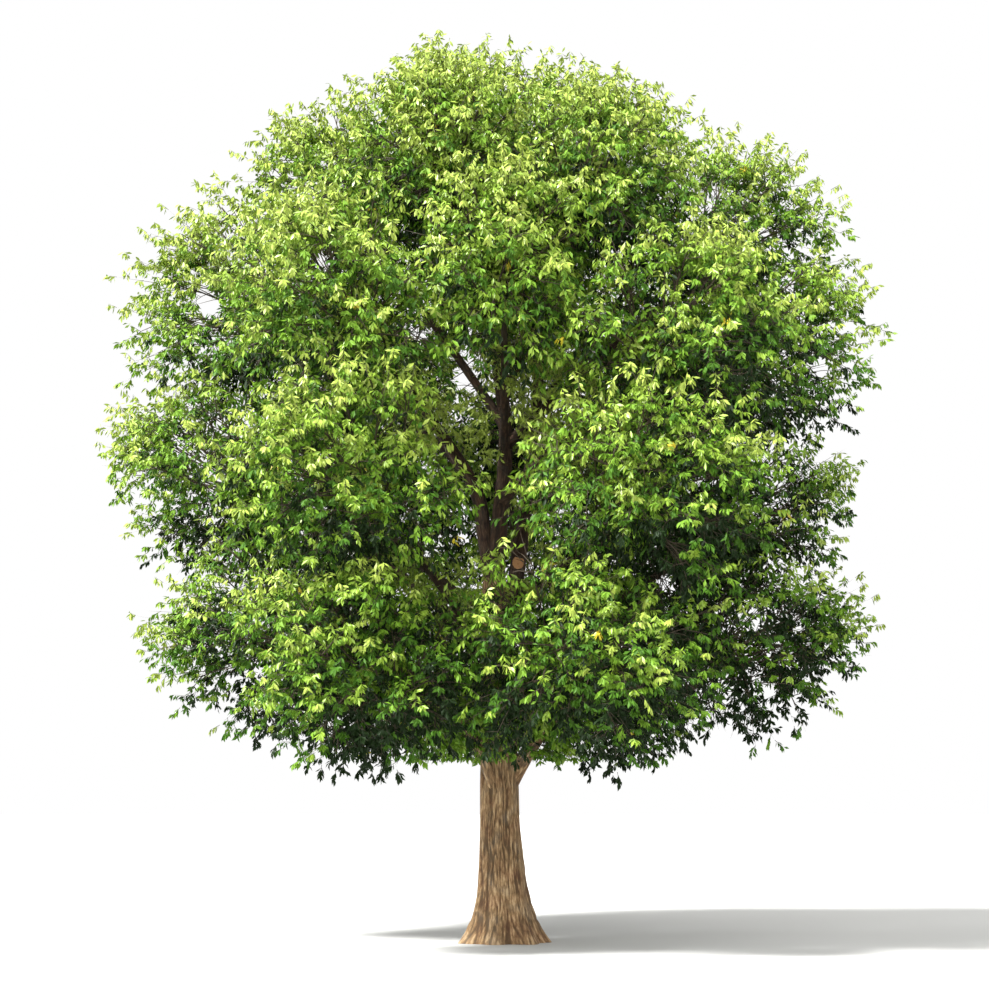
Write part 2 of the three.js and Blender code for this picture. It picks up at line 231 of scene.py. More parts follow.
def addTube(bm, sides, rows, rule):  # a grid rolled up by a rule and closed at both ends
    vectors, floats = bm.verts.layers.float_vector, bm.verts.layers.float
    placeLayer = vectors.get("barkPlace") or vectors.new("barkPlace")
    furrowLayer = floats.get("furrow") or floats.new("furrow")
    verts = bmesh.ops.create_grid(bm, x_segments=sides, y_segments=rows, size=1)["verts"]
    flat = (np.array([v.co[:2] for v in verts]) + 1) / 2
    for vert, place, barkPlace, furrow in zip(verts, *rule(flat[:, 0], flat[:, 1])):
        vert.co = place
        vert[placeLayer] = barkPlace
        vert[furrowLayer] = furrow
    bmesh.ops.remove_doubles(bm, verts=verts, dist=1e-5)
    bmesh.ops.holes_fill(bm, edges=[e for e in bm.edges if e.is_boundary], sides=0)


def finishPiece(bm, name, material, nodes):
    bmesh.ops.recalc_face_normals(bm, faces=bm.faces)
    mesh = bpy.data.meshes.new(name)
    bm.to_mesh(mesh)
    bm.free()
    return placePiece(mesh, name, material, nodes)


def placePiece(mesh, name, material, nodes):
    piece = bpy.data.objects.new(name, mesh)
    bpy.context.scene.collection.objects.link(piece)
    mesh.materials.append(material)
    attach(piece, "root")
    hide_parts(*nodes)
    return piece


def trunkRule(around, along):
    heights = trunk["fork"] * along ** trunk["rowCrowding"]
    angles = 2 * math.pi * around
    radii = trunkRadiusAt(heights, angles)
    cells = round(2 * math.pi * trunk["radiusGround"] / trunk["ridgeWidth"])
    furrows = furrowsAt(around, heights, cells, trunk["ridgeLength"], trunk["furrowSeed"])
    swells = closedNoise(around, heights / trunk["swellLength"], trunk["swellCells"], trunk["swellSeed"])
    swell = trunk["swell"] * swells
    flutes = closedNoise(around, heights / trunk["fluteLength"], trunk["flutes"], trunk["fluteSeed"])
    fluteDepths = trunk["fluteDepth"] * np.exp(-heights / trunk["fluteHeight"])
    swell += fluteDepths * np.minimum(flutes, trunk["fluteCap"])
    toTop = np.clip((heights - trunk["fork"] + trunk["shoulder"]) / trunk["shoulder"], 0, 1)
    rounding = np.sqrt(1 - trunk["shoulderTaper"] * toTop ** 2)
    radii = (radii + swell - trunk["furrowDepth"] * furrows) * rounding
    way = np.stack([np.cos(angles), np.sin(angles), 0 * angles], axis=-1)
    places = trunkAxisAt(heights) + way * radii[:, None]
    barkPlaces = way * trunk["radiusGround"] + upWay * heights[:, None]
    return places, barkPlaces, furrows


trunkShape = bmesh.new()
addTube(trunkShape, trunk["sides"], trunk["rows"], trunkRule)
trunkBark = finishPiece(trunkShape, "trunk_bark", oldBark, ["trunk"])
trunkBark.data.shade_smooth()
print("trunk bark:", len(trunkBark.data.polygons), "faces")


# Leaders: three stems from the fork
leaders = {
    "centre_leader": {"base": 0.120, "tip": 0.062, "via": [
        (-0.105, 0.0, 4.45), (-0.05, -0.02, 5.3), (0.04, -0.05, 6.5),
        (-0.06, -0.04, 7.4), (-0.26, 0.04, 8.7)]},
    "left_leader": {"base": 0.115, "tip": 0.058, "via": [
        (-0.1, 0.02, 4.4), (-0.24, 0.04, 5.2), (-0.35, 0.06, 5.8),
        (-0.76, 0.11, 6.5), (-1.35, 0.16, 7.3)]},
    "right_leader": {"base": 0.120, "tip": 0.060, "via": [
        (-0.08, 0.06, 3.5), (0.16, 0.24, 4.6), (0.36, 0.36, 6.1),
        (0.48, 0.4, 7.3), (0.56, 0.42, 8.4)]},
}
limbLook = {
    "leaderSides": 40, "leaderRows": 130, "boughSides": 22, "boughRows": 56,
    "collarLeader": 0.15, "collarBough": 0.45, "collarLength": 0.160, "boughTip": 0.042,
    "ridgeWidth": 0.04, "ridgeLength": 0.22, "furrowShare": 0.07,
    "knobs": 0.05, "knobLength": 0.3, "knobCells": 4,
    "leaderSeed": 40, "boughSeed": 100, "seedStep": 10,
    "sideHint": (0.31, 0.95, 0.1),  # a way that no limb runs along
}


def evenLine(points, count=160):
    walked = np.concatenate([[0], np.cumsum(np.linalg.norm(np.diff(points, axis=0), axis=1))])
    wanted = np.linspace(0, walked[-1], count)
    return np.stack([np.interp(wanted, walked, points[:, k]) for k in range(3)], axis=1), walked[-1]


def smoothLine(points, steps=60):  # centripetal curve through the points, in even steps
    points = np.array(points, float)
    padded = np.vstack([2 * points[0] - points[1], points, 2 * points[-1] - points[-2]])
    t = np.linspace(0, 1, steps, endpoint=False)[:, None]
    pieces = []
    for p0, p1, p2, p3 in zip(padded, padded[1:], padded[2:], padded[3:]):
        d0, d1, d2 = (np.linalg.norm(b - a) ** 0.5 for a, b in ((p0, p1), (p1, p2), (p2, p3)))
        t1 = ((p1 - p0) / d0 - (p2 - p0) / (d0 + d1) + (p2 - p1) / d1) * d1
        t2 = ((p2 - p1) / d1 - (p3 - p1) / (d1 + d2) + (p3 - p2) / d2) * d1
        squares = 3 * (p2 - p1) - 2 * t1 - t2
        cubes = 2 * (p1 - p2) + t1 + t2
        pieces.append(p1 + t1 * t + squares * t ** 2 + cubes * t ** 3)
    return evenLine(np.vstack(pieces + [points[-1:]]))


def archLine(start, arch, end, steps=120):  # quadratic arch from start to end, in even steps
    t = np.linspace(0, 1, steps)[:, None]
    return evenLine((1 - t) ** 2 * start + 2 * t * (1 - t) * arch + t ** 2 * end)


def addLimb(bm, line, base, tip, collar, sides, rows, seed):
    points, length = line
    tangents = unit(np.gradient(points, axis=0))
    chord = unit(points[-1] - points[0])
    reference = np.cross(chord, limbLook["sideHint"])
    cells = max(round(2 * math.pi * base / limbLook["ridgeWidth"]), 6)

    def between(rows, along):  # the rows' values at each share of the way
        index = along * (len(points) - 1)
        return np.stack([np.interp(index, np.arange(len(points)), rows[:, k]) for k in range(3)], axis=1)

    def rule(around, along):
        tangent = unit(between(tangents, along))
        side = unit(reference - tangent * (tangent @ reference)[:, None])
        other = np.cross(tangent, side)
        walked = along * length
        furrows = furrowsAt(around, walked, cells, limbLook["ridgeLength"], seed)
        radii = base + (tip - base) * along + base * collar * np.exp(-walked / limbLook["collarLength"])
        knobs = closedNoise(around, walked / limbLook["knobLength"], limbLook["knobCells"], seed + 5)
        radii *= 1 + limbLook["knobs"] * knobs
        radii *= 1 - limbLook["furrowShare"] * furrows
        angles = 2 * math.pi * around
        way = side * np.cos(angles)[:, None] + other * np.sin(angles)[:, None]
        rolled = np.stack([np.cos(angles), np.sin(angles), 0 * angles], axis=1) * base
        places = between(points, along) + way * radii[:, None]
        return places, rolled + upWay * walked[:, None] + seed, furrows

    addTube(bm, sides, rows, rule)


limbLines = {}
leaderShape = bmesh.new()
for number, (name, leader) in enumerate(leaders.items()):
    limbLines[name] = smoothLine(leader["via"])
    addLimb(leaderShape, limbLines[name], leader["base"], leader["tip"], limbLook["collarLeader"],
            limbLook["leaderSides"], limbLook["leaderRows"],
            limbLook["leaderSeed"] + limbLook["seedStep"] * number)
leaderBark = finishPiece(leaderShape, "leader_bark", youngBarkInPaintedShade, list(leaders))
leaderBark.data.shade_smooth()
print("leader bark:", len(leaderBark.data.polygons), "faces")


# Sawn-off stub: cut on a slant that faces the front
stub = {
    "base": 0.088, "tip": 0.076, "via": [(-0.08, -0.02, 3.9), (0.11, -0.14, 4.45), (0.21, -0.21, 4.89)],
    "sides": 40, "rows": 60, "seed": 75, "cutWay": (0.12, -0.84, 0.53), "cutBack": 0.075,
    "rings": 5, "faceProud": 0.002, "faceShare": 0.985,
    "ringMm": 11, "early": "#b5875a", "late": "#936741", "roughness": 0.85,
}
# Weathered sawn wood: dull, pale end grain with darker growth rings
sawnWood, sawnShader = newMaterial("weathered sawn wood")
sawnTree = sawnWood.node_tree
ringPlace = addNode(sawnTree, "ShaderNodeAttribute", {"attribute_name": "ringPlace"}).outputs["Fac"]
ringTurns = addNode(sawnTree, "ShaderNodeMath", {"operation": "MULTIPLY", 1: 2000 * math.pi / stub["ringMm"]},
                    {0: ringPlace})
ringWave = addNode(sawnTree, "ShaderNodeMath", {"operation": "SINE"}, {0: ringTurns.outputs[0]})
ringRamp = addNode(sawnTree, "ShaderNodeValToRGB", {}, {"Fac": ringWave.outputs[0]},
                   [(0.0, stub["early"]), (1.0, stub["late"])])
sawnTree.links.new(ringRamp.outputs["Color"], sawnShader.inputs["Base Color"])
sawnShader.inputs["Roughness"].default_value = stub["roughness"]

stubLine = smoothLine(stub["via"])
cutWay = unit(np.array(stub["cutWay"]))
cutPlace = stubLine[0][-1] - upWay * stub["cutBack"]
stubShape = bmesh.new()
addLimb(stubShape, stubLine, stub["base"], stub["tip"], limbLook["collarLeader"],
        stub["sides"], stub["rows"], stub["seed"])
bmesh.ops.bisect_plane(stubShape, geom=stubShape.verts[:] + stubShape.edges[:] + stubShape.faces[:],
                       plane_co=cutPlace, plane_no=cutWay, clear_outer=True)
rim = np.array([v.co for v in stubShape.verts if v.is_boundary])
bmesh.ops.holes_fill(stubShape, edges=[e for e in stubShape.edges if e.is_boundary], sides=0)
stubBark = finishPiece(stubShape, "stub_bark", youngBarkInPaintedShade, ["sawn_stub"])
stubBark.data.shade_smooth()

rimMiddle = rim.mean(axis=0)
across = unit(np.cross(cutWay, upWay))
turns = np.arctan2((rim - rimMiddle) @ np.cross(across, cutWay), (rim - rimMiddle) @ across)
rim = rim[np.argsort(turns)] - rimMiddle
faceMiddle = rimMiddle + stub["faceProud"] * cutWay
cutShape = bmesh.new()
ringLayer = cutShape.verts.layers.float.new("ringPlace")
rings = []
for step in range(1, stub["rings"] + 1):
    ring = [cutShape.verts.new(faceMiddle + place * stub["faceShare"] * step / stub["rings"])
            for place in rim]
    for vert in ring:
        vert[ringLayer] = stub["tip"] * step / stub["rings"]
    rings.append(ring)
cutShape.faces.new(rings[0])
for inner, outer in zip(rings, rings[1:]):
    for i in range(len(rim)):
        j = (i + 1) % len(rim)
        cutShape.faces.new((inner[i], outer[i], outer[j], inner[j]))
stubFace = finishPiece(cutShape, "stub_sawn_face", sawnWood, ["sawn_stub"])
print("sawn stub:", len(stubFace.data.polygons), "faces on the cut")


# Masses of foliage: the middle and half width of each, what its bough grows from and at what height,
# and the bough's radius there and its rise
masses = {
    "skirt_left": ((-2.9, -0.28, 4.08), 1.78, "trunk", 2.55, 0.088, 0.3),
    "skirt_front_left": ((-1.7, -2.53, 3.5), 1.66, "trunk", 1.7, 0.074, 0.5),
    "skirt_front_right": ((0.93, -2.7, 3.5), 1.70, "trunk", 2.75, 0.076, 0.26),
    "skirt_right": ((2.96, -0.38, 3.98), 1.80, "trunk", 1.75, 0.118, 0.52),
    "skirt_back_right": ((1.52, 2.83, 3.68), 1.72, "trunk", 2.9, 0.080, 0.26),
    "skirt_back_left": ((-1.43, 2.93, 3.68), 1.72, "trunk", 2.35, 0.080, 0.3),
    "lower_left": ((-3.59, 0.0, 6.08), 1.83, "trunk", 3.55, 0.092, 0.16),
    "lower_front_left": ((-1.84, -2.94, 5.59), 1.69, "trunk", 3.3, 0.082, 0.16),
    "lower_front_right": ((1.62, -2.95, 5.4), 1.69, "trunk", 3.65, 0.082, 0.14),
    "lower_right": ((3.02, 0.0, 5.43), 1.68, "trunk", 3.18, 0.092, 0.05),
    "lower_back_right": ((1.84, 3.21, 5.64), 1.81, "trunk", 4.05, 0.084, 0.08),
    "lower_back_left": ((-1.84, 3.26, 5.73), 1.81, "trunk", 3.9, 0.084, 0.08),
    "lower_back": ((0.06, 3.35, 6.68), 1.60, "right_leader", 4.8, 0.072, 0.08),
    "upper_left": ((-3.39, 0.0, 8.23), 1.80, "left_leader", 7.15, 0.044, 0.05),
    "upper_front_left": ((-1.99, -2.61, 7.67), 1.72, "left_leader", 6.35, 0.054, 0.08),
    "upper_back_left": ((-1.89, 3.03, 7.72), 1.81, "left_leader", 5.95, 0.058, 0.08),
    "upper_front": ((0.0, -2.7, 8.08), 1.50, "centre_leader", 6.15, 0.066, 0.06),
    "upper_front_right": ((2.13, -2.61, 7.2), 1.69, "centre_leader", 5.65, 0.070, 0.08),
    "upper_right": ((3.33, 0.0, 7.6), 1.86, "right_leader", 5.75, 0.063, 0.08),
    "upper_back_right": ((1.98, 2.93, 7.62), 1.81, "right_leader", 6.25, 0.059, 0.06),
    "top_left": ((-2.06, 0.0, 9.67), 1.67, "centre_leader", 6.65, 0.062, 0.02),
    "top_front_left": ((-0.75, -1.95, 9.75), 1.47, "centre_leader", 7.35, 0.055, 0.06),
    "top_front_right": ((1.24, -1.9, 9.41), 1.47, "centre_leader", 7.0, 0.058, 0.06),
    "top_right": ((2.93, 0.0, 9.06), 1.76, "centre_leader", 6.4, 0.064, 0.04),
    "top_back": ((0.09, 2.47, 9.47), 1.81, "right_leader", 7.45, 0.049, 0.04),
    "crown_left": ((-0.68, 0.24, 10.56), 1.65, "centre_leader", 8.6, 0.043, 0.02),
    "crown_right": ((0.66, 0.29, 10.36), 1.67, "right_leader", 8.3, 0.042, 0.02),
}
crown = {"middle": (0.0, 0.0, 6.3), "reach": (5.1, 4.8, 5.7), "flatness": 0.92, "boughEntry": 0.8}
lowBoughs = ["skirt_front_left", "skirt_right"]  # they fork off low and have the trunk's bark


def middleAtHeight(limb, height):
    if limb == "trunk":
        return trunkAxisAt(height)
    points = limbLines[limb][0]
    return np.array([np.interp(height, points[:, 2], points[:, k]) for k in range(3)])


boughShapes = {False: bmesh.new(), True: bmesh.new()}
boughLines = {}
for number, (name, (middle, reach, parent, height, base, rise)) in enumerate(masses.items()):
    middle = np.array(middle)
    start = middleAtHeight(parent, height)
    inward = start - middle
    share = reach / np.linalg.norm(inward / np.array([1, 1, crown["flatness"]]))
    entry = middle + inward * crown["boughEntry"] * share
    arch = (start + entry) / 2 + upWay * rise * np.linalg.norm(entry - start)
    boughLines[name] = archLine(start, arch, entry)
    addLimb(boughShapes[name in lowBoughs], boughLines[name], base, limbLook["boughTip"],
            limbLook["collarBough"], limbLook["boughSides"], limbLook["boughRows"],
            limbLook["boughSeed"] + limbLook["seedStep"] * number)
# the upper boughs take the darker bark with painted shade, the low ones the trunk's
for isLow, pieceName, bark in ((False, "bough_bark", youngBarkInPaintedShade), (True, "low_bough_bark", oldBark)):
    nodes = ["bough_" + name for name in masses if (name in lowBoughs) == isLow]
    boughBark = finishPiece(boughShapes[isLow], pieceName, bark, nodes)
    boughBark.data.shade_smooth()
    print(pieceName + ":", len(boughBark.data.polygons), "faces")


# Foliage: each mass keeps to its own space, a flattened ball cut by the planes between it and its neighbours
spaceRule = {
    "lift": 0.5, "slack": 0.14, "sharedSlack": 2,  # a shoot may reach twice as far into a neighbour's space
    "overBox": 0.05, "notchFill": 0.18, "notchWidth": 0.45,
}


def ballSpace(places):
    return np.asarray(places, float) / np.array([1, 1, crown["flatness"]])


def spaceOf(name):
    middle, reach = np.array(masses[name][0]), masses[name][1]
    planes = []
    for other in masses:
        if other == name:
            continue
        way = ballSpace(masses[other][0]) - ballSpace(middle)
        apart = np.linalg.norm(way)
        distance = (apart ** 2 + reach ** 2 - masses[other][1] ** 2) / (2 * apart)
        if distance < reach:
            planes.append((way / apart, distance))
    return {
        "name": name, "number": list(masses).index(name), "bough": boughLines[name][0],
        "middle": middle, "reach": reach,
        "outward": unit(unit(middle - np.array(crown["middle"])) + upWay * spaceRule["lift"]),
        "ways": np.array([p[0] for p in planes]), "distances": np.array([p[1] for p in planes]),
    }


def notchFill(gaps):  # neighbours grow together in the notch where they meet
    return spaceRule["notchFill"] * np.exp(-(gaps / spaceRule["notchWidth"]) ** 2)


def reachAlong(mass, ways):
    ballWays = ballSpace(ways)
    towards = np.maximum(ballWays @ mass["ways"].T, tiny)
    toBall = mass["reach"] / np.linalg.norm(ballWays, axis=1)
    toPlane = (mass["distances"] / towards).min(axis=1)
    return np.minimum(toBall, toPlane) + notchFill(toPlane - toBall)


def isInside(mass, places, slack):
    offsets = ballSpace(places) - ballSpace(mass["middle"])
    gaps = (mass["distances"] - offsets @ mass["ways"].T).min(axis=1)
    inBall = np.linalg.norm(offsets, axis=1) <= mass["reach"] + slack + notchFill(gaps)
    return inBall & (gaps >= -spaceRule["sharedSlack"] * slack)


def turnedAbout(axes, sides, turns):  # ways square to each axis, by their turn from its side
    others = np.cross(axes, sides)
    return sides[:, None] * np.cos(turns)[..., None] + others[:, None] * np.sin(turns)[..., None]


def spread(axes, count, widest, crowding, turns):  # ways fanned out round each axis, the first along it
    k = np.arange(count)
    lean = widest * (k / (count - 1)) ** crowding
    across = turnedAbout(axes, unit(np.cross(nearlyUp, axes)), goldenAngle * k + np.asarray(turns)[:, None])
    return axes[:, None] * np.cos(lean)[:, None] + across * np.sin(lean)[:, None]


def goldenSteps(count):  # shares from 0 to 1 that keep apart
    return (np.arange(count) * goldenShare) % 1


def bezier(start, bend, end, shares):  # points on many arches, one row of points for each
    t = np.asarray(shares)[:, None]
    return (1 - t) ** 2 * start[:, None] + 2 * t * (1 - t) * bend[:, None] + t ** 2 * end[:, None]


# Branches fan out to a clump each from a stem that carries on from the bough's tip. Each fourth is short.
branchRule = {
    "count": 42, "spread": 2.6, "crowding": 0.7, "end": 0.77, "innerEnd": 0.42,
    "forksFrom": 0.25, "bendAt": 0.45, "arch": 0.12, "sway": 0.07,
    "radii": (0.013, 0.006), "rings": 4, "sides": 4, "stemTip": 0.024, "stemRings": 6, "stemSides": 7,
}


def growBranches(mass, draw):
    count, reach, middle = branchRule["count"], mass["reach"], mass["middle"]
    tip, beforeTip = mass["bough"][-1], mass["bough"][-2]
    stemBend = tip[None] + unit(tip - beforeTip) * np.linalg.norm(middle - tip) / 2
    turn = mass["number"] + 1.0
    ways = spread(mass["outward"][None], count, branchRule["spread"], branchRule["crowding"], [turn])[0]
    reaches = reachAlong(mass, ways)
    ends = np.where(np.arange(count) % 4 == 3, branchRule["innerEnd"], branchRule["end"])
    centres = middle + ways * (reaches * ends)[:, None]
    forks = branchRule["forksFrom"] + (1 - branchRule["forksFrom"]) * goldenSteps(count)
    starts = bezier(tip[None], stemBend, middle[None], forks)[0]
    bends = starts * (1 - branchRule["bendAt"]) + centres * branchRule["bendAt"]
    bends = bends + upWay * branchRule["arch"] * reach
    bends += draw.normal(0, branchRule["sway"] * reach, bends.shape)
    stem = bezier(tip[None], stemBend, middle[None], np.linspace(0, 1, branchRule["stemRings"]))
    stemRadii = np.linspace(limbLook["boughTip"], branchRule["stemTip"], branchRule["stemRings"])
    lines = bezier(starts, bends, centres, np.linspace(0, 1, branchRule["rings"]))
    radii = np.linspace(*branchRule["radii"], branchRule["rings"])
    return {"ways": ways, "reaches": reaches, "starts": starts, "bends": bends, "centres": centres,
            "tubes": [(stem, stemRadii, branchRule["stemSides"]), (lines, radii, branchRule["sides"])]}


# Twigs fill each clump, one more stands half way along each branch, and others hang along the bough
twigRule = {
    "count": 8, "spread": 2.2, "crowding": 0.55, "length": (0.7, 1.1), "flatness": 0.8,
    "clumpShare": 0.25, "clumpLeast": 0.08, "clumpCap": 0.9, "domeOut": 0.75, "domeUp": 0.55,
    "from": 0.55, "fromSpan": 0.43, "arch": 0.05, "radii": (0.008, 0.0055, 0.0), "sides": 3,
    "innerAt": 0.45, "innerLean": 2.4, "innerLength": (0.7, 1.0),
    "onBough": 38, "boughFrom": 0.12, "hangLean": 1.15, "hangSway": 0.2, "hangDrop": 0.3,
    "hangLength": (0.3, 0.75), "hangSize": 0.5, "underside": 2.28, "tipsAbove": 0.05,
    "curtains": {"skirt_front_left": 3, "skirt_front_right": 3, "skirt_right": 3},  # times as many on these
}


def growTwigs(mass, branches, draw):
    ways, starts, bends, centres = (branches[key] for key in ("ways", "starts", "bends", "centres"))
    count, bough = twigRule["count"], mass["bough"]
    reaches = np.minimum(branches["reaches"], twigRule["clumpCap"] * mass["reach"])
    clumps = reaches * twigRule["clumpShare"] + twigRule["clumpLeast"]
    domes = unit(ways * twigRule["domeOut"] + upWay * twigRule["domeUp"])  # a clump is a dome, open below
    turns = draw.uniform(0, fullTurn, len(ways))
    twigWays = spread(domes, count, twigRule["spread"], twigRule["crowding"], turns)
    lengths = clumps[:, None] * draw.uniform(*twigRule["length"], twigWays.shape[:2])
    twigTips = centres[:, None] + twigWays * lengths[..., None] * np.array([1, 1, twigRule["flatness"]])
    twigStarts = bezier(starts, bends, centres, twigRule["from"] + twigRule["fromSpan"] * goldenSteps(count))

    innerStarts = bezier(starts, bends, centres, [twigRule["innerAt"]])[:, 0]
    innerTurns = draw.uniform(0, fullTurn, len(ways))
    innerWays = spread(ways, 2, twigRule["innerLean"], 1.0, innerTurns)[:, 1]
    innerLengths = draw.uniform(*twigRule["innerLength"], len(ways))
    innerTips = innerStarts + innerWays * clumps[:, None] * innerLengths[:, None]

    hanging = twigRule["onBough"] * twigRule["curtains"].get(mass["name"], 1)
    picked = np.round(np.linspace(twigRule["boughFrom"], 1, hanging) * (len(bough) - 1)).astype(int)
    tangents = unit(np.gradient(bough, axis=0))[picked]
    hangTurns = goldenAngle * np.arange(hanging) + mass["number"]
    hangWays = spread(tangents, 2, twigRule["hangLean"], 1.0, hangTurns)[:, 1]
    hangWays = hangWays + draw.normal(0, twigRule["hangSway"], hangWays.shape)
    hangWays = unit(hangWays - upWay * twigRule["hangDrop"])
    hangTips = bough[picked] + hangWays * draw.uniform(*twigRule["hangLength"], hanging)[:, None]
    hangTips[:, 2] = np.maximum(hangTips[:, 2], twigRule["underside"] + twigRule["tipsAbove"])

    starts = np.vstack([twigStarts.reshape(-1, 3), innerStarts, bough[picked]])
    tips = np.vstack([twigTips.reshape(-1, 3), innerTips, hangTips])
    return {
        "starts": starts, "tips": tips, "bends": (starts + tips) / 2 + upWay * twigRule["arch"],
        "hubs": np.vstack([np.repeat(centres, count, axis=0), innerStarts, bough[picked]]),
        "outs": np.vstack([np.repeat(domes, count, axis=0), innerWays, hangWays]),
        "sizes": np.concatenate([np.repeat(clumps, count), clumps, np.full(hanging, twigRule["hangSize"])]),
        "hangs": np.arange(len(starts)) >= len(starts) - hanging,
    }


# Shoots stand along each twig, turned by the golden angle, and end where the mass's space ends, off the trunk
shootRule = {
    "at": (0.36, 0.54, 0.7, 0.86, 1.0), "along": 0.6, "lean": 0.85, "endLean": 0.1, "rise": 0.1,
    "length": (0.13, 0.21), "endLength": 0.7, "trunkClearance": 0.36, "radii": (0.004, 0.0), "sides": 3,
}
camera = {"place": (-0.11, -26.0, 1.7), "tilt": 8.71, "lens": 72.1}  # the crown's gaps open towards it
gaps = [  # a place, how wide, and whether the sky shows through it
    ((0.21, -0.3, 4.84), 0.19, False), ((0.03, -0.1, 6.1), 0.18, False), ((0.03, -0.1, 6.55), 0.2, False),
    ((-0.02, -0.1, 7.0), 0.18, False), ((-0.56, 0.0, 7.6), 0.14, False), ((-0.95, 0.0, 8.05), 0.13, False),
    ((-0.52, 0.0, 7.36), 0.2, True), ((-3.96, 0.0, 8.44), 0.15, True), ((4.2, 0.0, 7.48), 0.13, True),
    ((-2.4, 0.0, 8.97), 0.14, True), ((-1.14, 0.0, 7.95), 0.14, True), ((2.1, 0.0, 4.65), 0.14, True),
    ((2.82, 0.0, 2.6), 0.16, True),
]


def isInGap(places):
    found = np.zeros(len(places), bool)
    for spot, radius, through in gaps:
        sight = unit(np.array(camera["place"]) - np.array(spot))
        offset = places - np.array(spot)
        inFront = offset @ sight
        aside = np.linalg.norm(offset - inFront[:, None] * sight, axis=1)
        found |= (aside <= radius) & ((inFront >= 0) | through)
    return found


def growShoots(mass, twigs, draw):
    starts, bends, tips = twigs["starts"], twigs["bends"], twigs["tips"]
    at = np.array(shootRule["at"])
    order = np.arange(len(at))
    bases = bezier(starts, bends, tips, at)
    axes = unit(tips - starts)
    turns = goldenAngle * order + draw.uniform(0, fullTurn, len(axes))[:, None]
    across = turnedAbout(axes, unit(np.cross(axes, nearlyUp)), turns)
    lean = np.where(order == len(at) - 1, shootRule["endLean"], shootRule["lean"])[:, None]
    ways = unit(axes[:, None] * shootRule["along"] + across * lean + upWay * shootRule["rise"])
    lengths = draw.uniform(*shootRule["length"], ways.shape[:2])
    lengths[:, -1] *= shootRule["endLength"]
    ends = bases + ways * lengths[..., None]
    twigOf = np.repeat(np.arange(len(axes)), len(at))
    bases, ends, ways = bases.reshape(-1, 3), ends.reshape(-1, 3), ways.reshape(-1, 3)

    offTrunk = np.hypot(*(bases - trunkAxisAt(bases[:, 2]))[:, :2].T) > shootRule["trunkClearance"]
    overUnderside = np.minimum(ends[:, 2], starts[twigOf, 2]) > twigRule["underside"]
    within = isInside(mass, bases, 0) & isInside(mass, ends, spaceRule["slack"])
    kept = np.where(twigs["hangs"][twigOf], offTrunk & overUnderside, within)
    kept &= (ends > np.array(cadBox[0]) - spaceRule["overBox"]).all(axis=1)
    kept &= (ends < np.array(cadBox[1]) + spaceRule["overBox"]).all(axis=1)
    kept &= ~isInGap((bases + ends) / 2)
    bases, ends, ways, twigOf = bases[kept], ends[kept], ways[kept], twigOf[kept]
    bearing = np.unique(twigOf)
    twigLines = bezier(starts[bearing], bends[bearing], tips[bearing], [0, 0.5, 1])
    return {"bases": bases, "ends": ends, "ways": ways, "twigOf": twigOf, "hangs": twigs["hangs"][twigOf],
            "tubes": [(twigLines, np.array(twigRule["radii"]), twigRule["sides"]),
                      (np.stack([bases, ends], axis=1), np.array(shootRule["radii"]), shootRule["sides"])]}


# Painted light and shade, dealt out as leaf tints by spray: lighter on the outside of its clump, its mass and
# the crown, high up, on the left where the key lamp shines from, and in the crown's open middle; darker
# inside and below. Partly real, as sun leaves are yellower than shade leaves.
paintedLightRule = {
    "clump": 0.85, "clumpUp": 0.5, "mass": 0.75, "massOut": 0.6,
    "crown": 1.1, "crownFrom": 0.75, "crownCap": 0.2,
    "high": 0.45, "left": 0.22, "hanging": 0.15, "chance": 0.18,
    "window": (0.0, -1.2, 6.2), "windowReach": (1.7, 1.9, 2.0), "windowLight": 1.6,  # the crown's open middle
}


def paintedLightOn(mass, twigs, shoots, depthWays, draw):
    bases, twigOf = shoots["bases"], shoots["twigOf"]
    clumpWays = unit(twigs["outs"][twigOf] + upWay * paintedLightRule["clumpUp"])
    outInClump = ((bases - twigs["hubs"][twigOf]) * clumpWays).sum(axis=1)
    light = paintedLightRule["clump"] * outInClump / twigs["sizes"][twigOf]
    massWay = unit(mass["outward"] * paintedLightRule["massOut"] + upWay)
    light += paintedLightRule["mass"] * (bases - mass["middle"]) @ massWay / mass["reach"]
    outInCrown = np.minimum(np.linalg.norm(depthWays, axis=1) - paintedLightRule["crownFrom"], paintedLightRule["crownCap"])
    # painted light: lighter tints high up and on the left, where the key lamp shines from
    light += (paintedLightRule["crown"] * outInCrown + paintedLightRule["high"] * depthWays[:, 2]
              - paintedLightRule["left"] * depthWays[:, 0])
    light = np.where(shoots["hangs"], paintedLightRule["hanging"], light)
    light += draw.normal(0, paintedLightRule["chance"], len(light))
    # painted light: sprays in the crown's open middle get lighter tints
    window = (bases - np.array(paintedLightRule["window"])) / np.array(paintedLightRule["windowReach"])
    return light + paintedLightRule["windowLight"] * np.exp(-(window ** 2).sum(axis=1))


# Leaves stand left and right of a shoot, one at its end, and droop. Lengths in metres, with the stalk.
leafRule = {
    "onShoot": 12, "from": 0.16, "along": 0.4, "aside": 0.6, "endAside": 0.1,
    "droop": (0.4, 1.4), "sway": 0.34, "faceUp": 0.65, "faceOut": 0.5, "faceSway": 0.75,
    "length": (0.082, 0.108), "width": 0.33, "curl": 0.16, "fold": 0.09,
    "fewWithin": 0.78, "someWithin": 0.82, "innerSize": 1.25,
}


